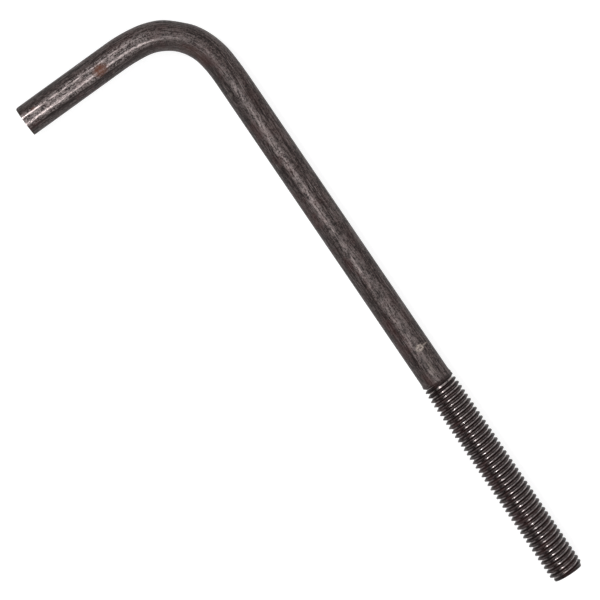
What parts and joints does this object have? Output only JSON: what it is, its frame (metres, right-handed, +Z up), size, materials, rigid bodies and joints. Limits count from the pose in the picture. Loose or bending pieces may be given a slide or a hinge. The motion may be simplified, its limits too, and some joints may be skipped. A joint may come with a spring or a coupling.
{
  "type": "l-shaped anchor bolt",
  "caption": "Round steel bar bent into an L hook at one end and threaded at the other, cast into a foundation to hold down a plate or sill.",
  "frame": {"origin": "under the middle of the bolt's box, on the surface that the bolt lies on", "axes": "+X along the shank towards the thread's end, -Y the way the hook points, +Z up"},
  "size_m": [0.1987, 0.0608, 0.01],
  "materials": {
    "steel": "dark mill scale, worn bright along the bar, with a little rust"
  },
  "bodies": {
    "root": {"anchor_bolt": "steel"}
  },
  "joints": []
}
